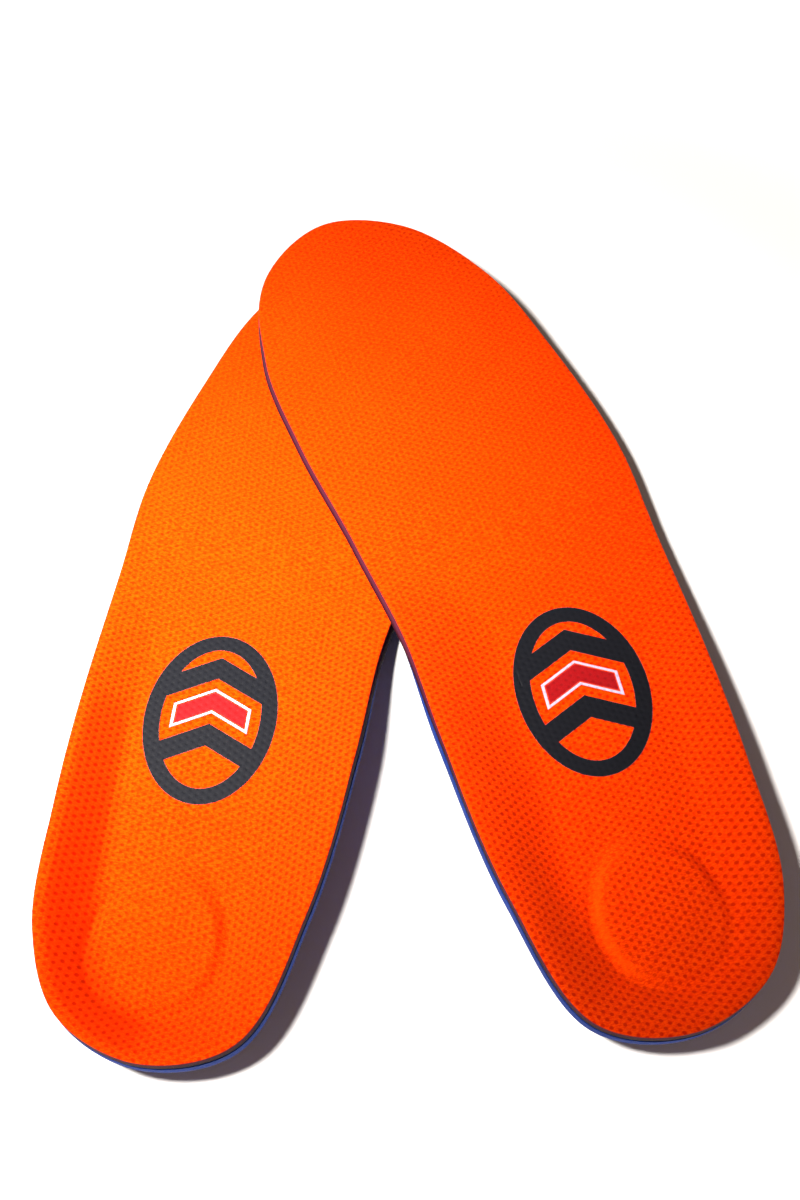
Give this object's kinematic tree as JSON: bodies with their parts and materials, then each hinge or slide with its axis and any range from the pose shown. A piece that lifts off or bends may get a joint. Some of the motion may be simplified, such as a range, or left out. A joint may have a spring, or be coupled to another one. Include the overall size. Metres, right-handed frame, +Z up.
{
  "type": "cushioned insole",
  "caption": "Full-length cushioned shoe insoles, left and right, with cupped heel, raised heel pad, arch support and mesh cover, lying fanned with the toes crossed.",
  "frame": {"origin": "on the ground, under the middle of the pair's bounding box", "axes": "+Y from the heels towards the toes, +Z up, +X towards the right insole"},
  "size_m": [0.1828, 0.2622, 0.0242],
  "materials": {
    "mesh_fabric": "orange air-mesh knit with small round dimples, matt",
    "cushion_foam": "soft open-cell foam, dark violet, matt",
    "base_foam": "moulded closed-cell foam, royal blue, fine skin, satin",
    "heel_gel": "soft elastomer, satin",
    "film_dark": "heat-transfer film, charcoal, slightly glossy, pressed into the knit",
    "film_red": "heat-transfer film, red, slightly glossy, pressed into the knit",
    "film_white": "heat-transfer film, white, thin line"
  },
  "bodies": {
    "left_insole": {"left_top_cover": "mesh_fabric", "left_cushion_layer": "cushion_foam", "left_foam_base": "base_foam", "left_heel_pad": "heel_gel", "left_emblem_ring": "film_dark", "left_emblem_chevron": "film_red", "left_emblem_lining": "film_white"},
    "right_insole": {"right_top_cover_rear": "mesh_fabric", "right_cushion_layer_rear": "cushion_foam", "right_foam_base_rear": "base_foam", "right_heel_pad": "heel_gel", "right_emblem_ring": "film_dark", "right_emblem_chevron": "film_red", "right_emblem_lining": "film_white"},
    "right_forefoot": {"right_top_cover_front": "mesh_fabric", "right_cushion_layer_front": "cushion_foam", "right_foam_base_front": "base_foam"}
  },
  "joints": [
    {"name": "right_lift", "type": "slide", "parent": "left_insole", "child": "right_insole", "axis": [0, 0, 1], "range_m": [0, 0.06]},
    {"name": "right_toe_flex", "type": "hinge", "parent": "right_insole", "child": "right_forefoot", "pos_m": [0.02197, 0.04917, 0.01362], "axis": [0.9731, 0.2253, -0.0488], "range_deg": [0, 45], "stiffness_Nm_per_rad": 0.3}
  ]
}
